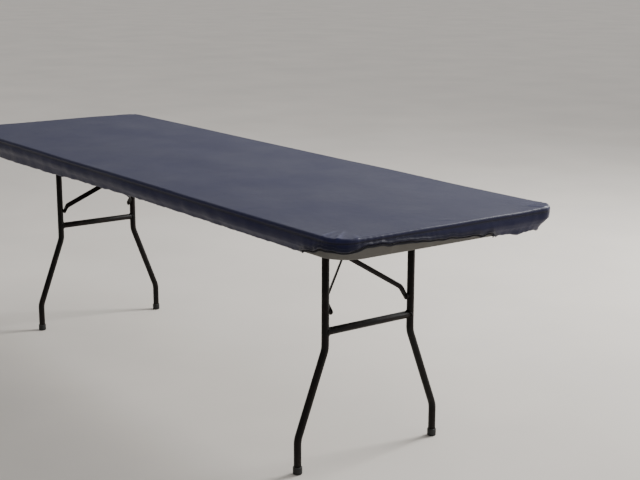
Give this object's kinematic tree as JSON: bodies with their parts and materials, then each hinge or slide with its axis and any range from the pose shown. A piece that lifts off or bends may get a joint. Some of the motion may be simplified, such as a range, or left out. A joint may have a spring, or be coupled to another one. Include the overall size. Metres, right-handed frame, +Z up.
{
  "type": "fitted table cover on a folding table",
  "caption": "Navy fitted cover with an elastic hem on a long folding table with splayed tube legs, folding braces and lock rings.",
  "frame": {"origin": "on the floor, under the middle of the table top", "axes": "+X along the table's length towards leg set a, +Z up, the front long side faces -Y"},
  "size_m": [2.438, 0.762, 0.754],
  "materials": {
    "cover": "navy coated cloth, satin",
    "elastic": "covered elastic cord",
    "moulded_top": "grained moulded plastic, light grey",
    "black_enamel": "black powder coat, semi-gloss",
    "zinc": "bright zinc plate",
    "black_cap": "black moulded plastic"
  },
  "bodies": {
    "table": {"tabletop": "moulded_top", "fitted_cover": "cover", "hem_elastic": "elastic", "side_rail_front": "black_enamel", "side_rail_back": "black_enamel", "rail_screw_front_1": "zinc", "rail_screw_front_2": "zinc", "rail_screw_front_3": "zinc", "rail_screw_front_4": "zinc", "rail_screw_back_1": "zinc", "rail_screw_back_2": "zinc", "rail_screw_back_3": "zinc", "rail_screw_back_4": "zinc", "cross_member_a": "black_enamel", "brace_bracket_a": "black_enamel", "bracket_pin_a": "zinc", "cross_member_b": "black_enamel", "brace_bracket_b": "black_enamel", "bracket_pin_b": "zinc"},
    "legs_a": {"pivot_tube_a": "black_enamel", "crossbar_a": "black_enamel", "leg_tube_a_front": "black_enamel", "foot_cap_a_front": "black_cap", "pivot_cap_a_front": "black_cap", "brace_stud_a_front": "black_enamel", "leg_tube_a_back": "black_enamel", "foot_cap_a_back": "black_cap", "pivot_cap_a_back": "black_cap", "brace_stud_a_back": "black_enamel"},
    "brace_a": {"brace_strap_a_front": "black_enamel", "brace_rivet_a_front": "zinc", "brace_strap_a_back": "black_enamel", "brace_rivet_a_back": "zinc"},
    "link_a": {"upper_link_a": "black_enamel"},
    "ring_a": {"lock_ring_a": "zinc"},
    "legs_b": {"pivot_tube_b": "black_enamel", "crossbar_b": "black_enamel", "leg_tube_b_front": "black_enamel", "foot_cap_b_front": "black_cap", "pivot_cap_b_front": "black_cap", "brace_stud_b_front": "black_enamel", "leg_tube_b_back": "black_enamel", "foot_cap_b_back": "black_cap", "pivot_cap_b_back": "black_cap", "brace_stud_b_back": "black_enamel"},
    "brace_b": {"brace_strap_b_front": "black_enamel", "brace_rivet_b_front": "zinc", "brace_strap_b_back": "black_enamel", "brace_rivet_b_back": "zinc"},
    "link_b": {"upper_link_b": "black_enamel"},
    "ring_b": {"lock_ring_b": "zinc"}
  },
  "joints": [
    {"name": "legs_fold_a", "type": "hinge", "parent": "table", "child": "legs_a", "pos_m": [0.867, 0, 0.711], "axis": [0, 1, 0], "range_deg": [0, 90]},
    {"name": "brace_fold_a", "type": "hinge", "parent": "legs_a", "child": "brace_a", "pos_m": [0.867, 0, 0.456], "axis": [0, 1, 0], "range_deg": [0, 45]},
    {"name": "link_fold_a", "type": "hinge", "parent": "table", "child": "link_a", "pos_m": [0.612, 0, 0.711], "axis": [0, -1, 0], "range_deg": [0, 45]},
    {"name": "ring_slide_a", "type": "slide", "parent": "link_a", "child": "ring_a", "axis": [-0.7071, 0, 0.7071], "range_m": [-0.045, 0.08]},
    {"name": "legs_fold_b", "type": "hinge", "parent": "table", "child": "legs_b", "pos_m": [-0.836, 0, 0.711], "axis": [0, -1, 0], "range_deg": [0, 90]},
    {"name": "brace_fold_b", "type": "hinge", "parent": "legs_b", "child": "brace_b", "pos_m": [-0.836, 0, 0.456], "axis": [0, -1, 0], "range_deg": [0, 45]},
    {"name": "link_fold_b", "type": "hinge", "parent": "table", "child": "link_b", "pos_m": [-0.581, 0, 0.711], "axis": [0, 1, 0], "range_deg": [0, 45]},
    {"name": "ring_slide_b", "type": "slide", "parent": "link_b", "child": "ring_b", "axis": [0.7071, 0, 0.7071], "range_m": [-0.045, 0.08]}
  ],
  "couplings": [
    {"joint": "brace_fold_a", "follows": "legs_fold_a", "ratio": 0.5},
    {"joint": "link_fold_a", "follows": "legs_fold_a", "ratio": 0.5},
    {"joint": "brace_fold_b", "follows": "legs_fold_b", "ratio": 0.5},
    {"joint": "link_fold_b", "follows": "legs_fold_b", "ratio": 0.5}
  ]
}
